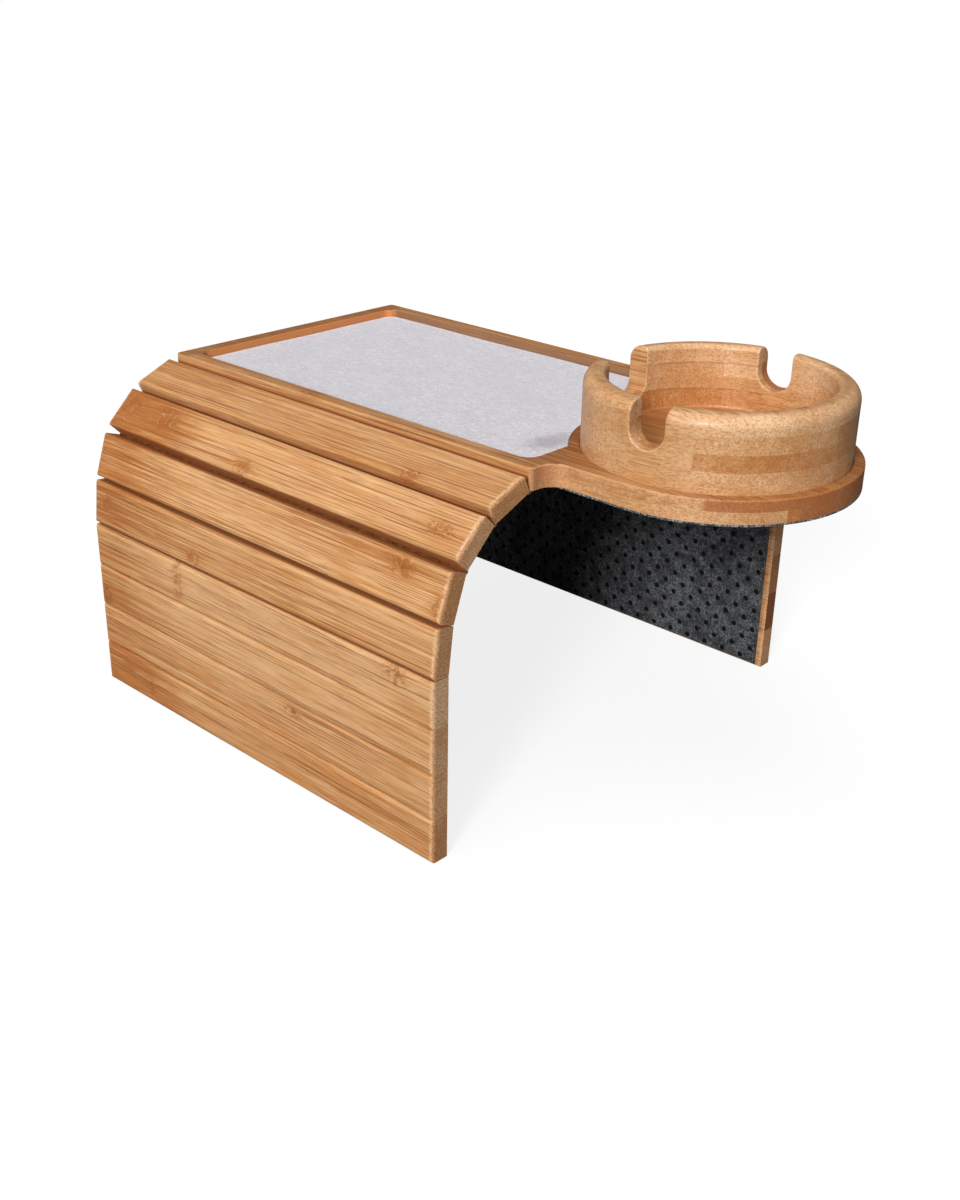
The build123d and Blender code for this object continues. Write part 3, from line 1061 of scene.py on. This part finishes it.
def seam_dots(name, seam, low_y):
    """The dots of one seam's piece. Across is counted from the middle of the panel."""
    margin = LINING_DOT_RADIUS

    def inside(across, along):
        return low_y + margin < along < -low_y - margin

    bm = bmesh.new()
    for across, along in dot_places(seam.across - LINING_SPLIT, seam.across + seam.reach - margin, inside):
        distance = across - seam.across
        direction, out = (seam.before, seam.out_before) if distance < 0 else (seam.after, seam.out_after)
        place = seam.hinge + direction * distance + out * LINING_DOT_HEIGHT
        add_dome(bm, Vector((place.x, along, place.z)), direction, Vector(BACK), -out)
    return mesh_from(name, bm)


def seam_lining(seam, thickness, low_y, felt, dots, stain_and_painted_light):
    """The piece of the lining over one seam, shaped to its bend, and its dots."""
    wing, number = seam.wing, seam.number
    free, glued = seam_profile(seam, thickness)
    tongue = LINING_TONGUE if seam.before.angle(seam.after) > SEAM_OPEN_ANGLE else 0.0
    piece = seam_sheet(f"{wing}_lining_seam_{number}", free, glued, low_y, tongue)
    set_material(piece, felt, stain_and_painted_light)
    spots = seam_dots(f"{wing}_lining_dots_{number}", seam, low_y)
    set_material(spots, dots)
    for obj in (piece, spots):
        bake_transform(obj)
    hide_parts(f"{wing}_lining_{number}")


def lining(felt, dots, stain_and_painted_light):
    """The lining as one sheet in pieces: one under the panel, and one over each seam."""
    low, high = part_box("tray_lining")
    low_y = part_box("right_lining_1")[0].y
    centre_lining(felt, dots, low_y)
    for wing, side in (("left", -1), ("right", 1)):
        for seam in wing_seams(wing, side):
            seam_lining(seam, high.z - low.z, low_y, felt, dots, stain_and_painted_light)


def grow_lobe(bm, low_y):
    """Widens the lobe's part of a flat sheet by the lining's inset, so that its edge shows."""
    shifts = {}
    for edge in bm.edges:
        if not edge.is_boundary:
            continue
        first, second = (v.co for v in edge.verts)
        outward = Vector((second.y - first.y, first.x - second.x, 0)).normalized()
        if outward.dot((first + second) / 2 - edge.link_faces[0].calc_center_median()) < 0:
            outward = -outward
        for v in edge.verts:
            shifts.setdefault(v, []).append(outward)
    for v, directions in shifts.items():
        if v.co.y < low_y - 0.1 * MM:
            v.co += sum(directions, Vector()).normalized() * LINING_INSET


def centre_lining(felt, dots, low_y):
    """The piece under the panel and the lobe, cut out of the CAD sheet's outline, and its dots."""
    edge = panel_edge() - LINING_SPLIT
    bm = clean_copy("tray_lining")
    bmesh.ops.delete(bm, geom=[f for f in bm.faces if f.normal.z < 0.9], context="FACES")
    for point, normal in (((-edge, 0, 0), RIGHT), ((edge, 0, 0), RIGHT), ((0, low_y, 0), BACK)):
        cut(bm, point, normal)
    middles = [(f, f.calc_center_median()) for f in bm.faces]
    beside = [f for f, middle in middles if abs(middle.x) > edge and middle.y > low_y]
    bmesh.ops.delete(bm, geom=beside, context="FACES")
    grow_lobe(bm, low_y)
    made = bmesh.ops.extrude_face_region(bm, geom=list(bm.faces))
    for v in made["geom"]:
        if isinstance(v, bmesh.types.BMVert):
            v.co.z = LINING_DOT_HEIGHT
    bmesh.ops.triangulate(bm, faces=[f for f in bm.faces if len(f.verts) > 4])
    piece = mesh_from("lining_centre", bm)
    set_material(piece, felt)
    low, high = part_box("tray_lining")
    lobe_low, lobe_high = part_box("ashtray")
    lobe_middle = (lobe_low + lobe_high) / 2
    lobe_radius = lobe_middle.y - low.y
    margin = LINING_DOT_RADIUS

    def inside(across, along):
        if along > low_y + margin:
            return along < -low_y - margin
        if along > lobe_middle.y:
            return abs(across) < lobe_radius - margin
        return math.hypot(across, along - lobe_middle.y) < lobe_radius - margin

    bm = bmesh.new()
    for across, along in dot_places(-edge, edge, inside):
        centre = Vector((across, along, LINING_DOT_HEIGHT))
        add_dome(bm, centre, Vector(RIGHT), Vector(BACK), -Vector(UP))
    spots = mesh_from("lining_dots_centre", bm)
    set_material(spots, dots)
    for obj in (piece, spots):
        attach(obj, "tray")
    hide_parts("tray_lining")
    flat_area = frame_area("tray_lining") - 2 * (high.x - edge) * (-2 * low_y)


def place_camera():
    """The photograph's viewpoint: heading from +Y toward +X, looking down, with a slight roll."""
    yaw, pitch, roll = CAMERA_YAW, CAMERA_PITCH, CAMERA_ROLL
    forward = Vector((math.sin(yaw) * math.cos(pitch), math.cos(yaw) * math.cos(pitch), -math.sin(pitch)))
    right = Vector((math.cos(yaw), -math.sin(yaw), 0))
    up = right.cross(forward)
    right, up = (
        right * math.cos(roll) + up * math.sin(roll),
        up * math.cos(roll) - right * math.sin(roll),
    )
    data = bpy.data.cameras.new("camera")
    data.sensor_fit = "VERTICAL"
    data.sensor_height = CAMERA_SENSOR_MM
    data.lens = CAMERA_LENS_MM
    data.shift_x, data.shift_y = CAMERA_SHIFT
    data.clip_start = 0.01
    camera = new_object("camera", data)
    turn = Matrix((right, up, -forward)).transposed().to_4x4()
    camera.matrix_world = Matrix.Translation(CAMERA_PLACE) @ turn
    bpy.context.scene.camera = camera


def light_scene():
    """A low key light, a broad top light and an even pale surround."""
    lamps = (
        ("key", KEY_SIDE, KEY_STRENGTH, KEY_SPREAD, KEY_COLOUR),
        ("top", TOP_SIDE, TOP_STRENGTH, TOP_SPREAD, TOP_COLOUR),
    )
    for name, side, strength, spread, colour in lamps:
        data = bpy.data.lights.new(name, "SUN")
        data.energy = strength
        data.angle = spread
        data.color = colour
        lamp = new_object(name, data)
        lamp.rotation_euler = (-side).to_track_quat("-Z", "Y").to_euler()
    world = bpy.data.worlds.new("studio")
    world.use_nodes = True
    world.node_tree.nodes.clear()
    g = Graph(world.node_tree)
    path = g.add("ShaderNodeLightPath").outputs
    seen = g.math("MAXIMUM", path["Is Camera Ray"], path["Is Transmission Ray"])
    back = g.add("ShaderNodeBackground")
    strength = g.math("MULTIPLY_ADD", seen, 1.0 - AMBIENT, AMBIENT)
    g.feed_all(back, {"Color": WHITE, "Strength": strength})
    out = g.add("ShaderNodeOutputWorld")
    g.feed(out.inputs["Surface"], back.outputs[0])
    bpy.context.scene.world = world


def add_floor(level):
    """A pale floor that keeps the object's shadow and fades into the white background."""
    bm = bmesh.new()
    bmesh.ops.create_circle(bm, cap_ends=True, segments=FLOOR_SIDES, radius=FLOOR_RADIUS)
    floor = mesh_from("floor", bm)
    floor.location.z = level
    values = {"Roughness": 0.9, "Specular IOR Level": 0.0, "Emission Color": WHITE}
    material, g, shader = new_material("floor_white", values)
    seen = g.add("ShaderNodeLightPath").outputs["Is Camera Ray"]
    place = object_place(g)
    away = g.smooth(g.vector("LENGTH", place), *FLOOR_FADE)
    grey = g.varied(FLOOR_ALBEDO, g.noise(place, 90.0), FLOOR_GRAIN)
    grey = g.times(grey, g.math("SUBTRACT", 1.0, away))
    g.feed(shader.inputs["Base Color"], g.combine(grey, grey, grey))
    glow = g.between(away, FLOOR_GLOW, 1.0)
    g.feed(shader.inputs["Emission Strength"], g.times(seen, glow))
    set_material(floor, material)


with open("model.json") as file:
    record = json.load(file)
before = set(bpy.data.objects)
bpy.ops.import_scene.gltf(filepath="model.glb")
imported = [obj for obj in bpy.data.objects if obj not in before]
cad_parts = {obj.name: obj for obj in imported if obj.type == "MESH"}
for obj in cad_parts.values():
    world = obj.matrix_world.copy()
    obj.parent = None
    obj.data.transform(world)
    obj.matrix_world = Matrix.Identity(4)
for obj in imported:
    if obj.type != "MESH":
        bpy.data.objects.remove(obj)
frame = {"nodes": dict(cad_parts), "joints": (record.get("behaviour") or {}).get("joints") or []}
cad_low, cad_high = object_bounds()

scene = bpy.context.scene
scene.view_settings.view_transform = "Standard"

place_camera()
bamboo = bamboo_group()
dress_wood(bamboo)
felt_insert(felt_material())
lining(lining_material(), dot_material(), seam_shade_felt_material())
light_scene()
add_floor(cad_low.z)
